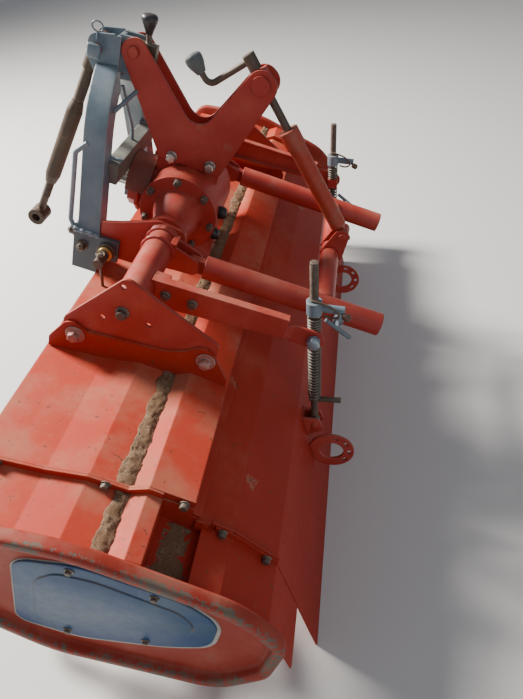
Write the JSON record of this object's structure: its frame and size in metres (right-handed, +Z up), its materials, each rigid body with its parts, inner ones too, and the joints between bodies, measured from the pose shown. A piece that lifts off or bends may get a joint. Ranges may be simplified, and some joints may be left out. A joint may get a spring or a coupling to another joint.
{
  "type": "rotary tiller",
  "caption": "Three-point rotary tiller: tine rotor under a folded steel cover, centre gearbox, A-frame hitch, hinged rear cover on spring rods and a crank-set depth frame.",
  "frame": {"origin": "on the floor, under the middle of the bounding box", "axes": "+X forward to the tractor, +Y to the machine's left, +Z up; stored as it parks, on its tines and the lip of its rear cover, nose up by 19.9 degrees"},
  "size_m": [0.8634, 1.7, 0.9794],
  "materials": {
    "red_paint": "sun-faded gloss paint with dust",
    "grey_blue_paint": "worn satin paint",
    "blue_paint": "scuffed gloss paint",
    "black_plastic": "dull",
    "bright_steel": "zinc plated, dulled",
    "worn_steel": "brown with light rust",
    "tine_steel": "worn and lightly rusted"
  },
  "bodies": {
    "chassis": {"axle_tube_left": "red_paint", "axle_tube_right": "red_paint", "bracket_plate_left": "red_paint", "bracket_plate_right": "red_paint", "cover_end_left": "red_paint", "cover_end_right": "red_paint", "cross_beam": "grey_blue_paint", "drive_case": "red_paint", "gearbox_case": "red_paint", "hanger_arm_left": "red_paint", "hanger_arm_right": "red_paint", "hinge_pins": "bright_steel", "hitch_feet": "grey_blue_paint", "hitch_plate_left": "red_paint", "hitch_plate_right": "red_paint", "input_guard": "black_plastic", "latch_rods": "worn_steel", "lock_knob": "black_plastic", "lock_lever": "grey_blue_paint", "lower_pins": "worn_steel", "mast_head": "grey_blue_paint", "mast_leg_left": "grey_blue_paint", "mast_leg_right": "grey_blue_paint", "mast_pins": "worn_steel", "mast_plate_left": "red_paint", "mast_plate_right": "red_paint", "pivot_brackets": "red_paint", "side_housing_left": "red_paint", "side_housing_right": "red_paint", "side_panels": "blue_paint", "side_plate_left": "red_paint", "side_plate_right": "red_paint", "top_cover": "red_paint"},
    "rotor": {"tine_rotor_left": "tine_steel", "tine_rotor_right": "tine_steel"},
    "input": {"input_shaft": "bright_steel"},
    "rear_cover": {"rear_cover": "red_paint", "rear_cover_end_left": "red_paint", "rear_cover_end_right": "red_paint", "cover_lugs": "red_paint"},
    "hanger_trunnions": {"hanger_trunnions": "bright_steel", "lower_springs": "worn_steel", "upper_springs": "worn_steel"},
    "hanger_rods": {"hanger_rods": "bright_steel", "hanger_levers": "bright_steel"},
    "rear_frame": {"rear_tube_left": "red_paint", "rear_tube_right": "red_paint", "rear_cross_tube": "red_paint", "strut_bracket": "red_paint"},
    "strut_screw": {"strut_trunnion": "grey_blue_paint", "strut_crank": "worn_steel"},
    "strut_tube": {"strut_tube": "red_paint"},
    "top_link": {"top_link_ends": "worn_steel", "top_link_barrel": "worn_steel"}
  },
  "joints": [
    {"name": "rotor_spin", "type": "hinge", "parent": "chassis", "child": "rotor", "pos_m": [0.09566, 0, 0.23861], "axis": [0, 1, 0], "continuous": true},
    {"name": "input_spin", "type": "hinge", "parent": "chassis", "child": "input", "pos_m": [0.23078, 0, 0.68124], "axis": [0.94, 0, 0.3411], "continuous": true},
    {"name": "rear_cover_swing", "type": "hinge", "parent": "chassis", "child": "rear_cover", "pos_m": [-0.13645, 0, 0.39162], "axis": [0, 1, 0], "range_deg": [-6, 28]},
    {"name": "hanger_swing", "type": "hinge", "parent": "chassis", "child": "hanger_trunnions", "pos_m": [-0.29563, 0, 0.49023], "axis": [0, 1, 0], "range_deg": [-3.9, 17.81]},
    {"name": "hanger_slide", "type": "slide", "parent": "hanger_trunnions", "child": "hanger_rods", "axis": [0, 0, 1], "range_m": [-0.01789, 0.08274], "deforming": ["lower_springs", "upper_springs"]},
    {"name": "rear_frame_swing", "type": "hinge", "parent": "chassis", "child": "rear_frame", "pos_m": [-0.03705, 0, 0.56917], "axis": [0, 1, 0], "range_deg": [-12, 12]},
    {"name": "strut_swing", "type": "hinge", "parent": "chassis", "child": "strut_screw", "pos_m": [-0.16757, 0, 0.85265], "axis": [0, 1, 0], "range_deg": [-5.8, 5.8]},
    {"name": "strut_slide", "type": "slide", "parent": "strut_screw", "child": "strut_tube", "axis": [0.4492, 0, 0.8934], "range_m": [-0.0515, 0.0515]},
    {"name": "top_link_swing", "type": "hinge", "parent": "chassis", "child": "top_link", "pos_m": [0.15022, 0, 0.92966], "axis": [0, 1, 0], "range_deg": [-150, 5]}
  ],
  "couplings": [
    {"joint": "input_spin", "follows": "rotor_spin", "ratio": 2.75},
    {"joint": "hanger_swing", "follows": "rear_cover_swing", "ratio": 0.6325},
    {"joint": "hanger_slide", "follows": "rear_cover_swing", "m_per_rad": 0.1689},
    {"joint": "strut_swing", "follows": "rear_frame_swing", "ratio": 0.4753},
    {"joint": "strut_slide", "follows": "rear_frame_swing", "m_per_rad": 0.2435}
  ]
}
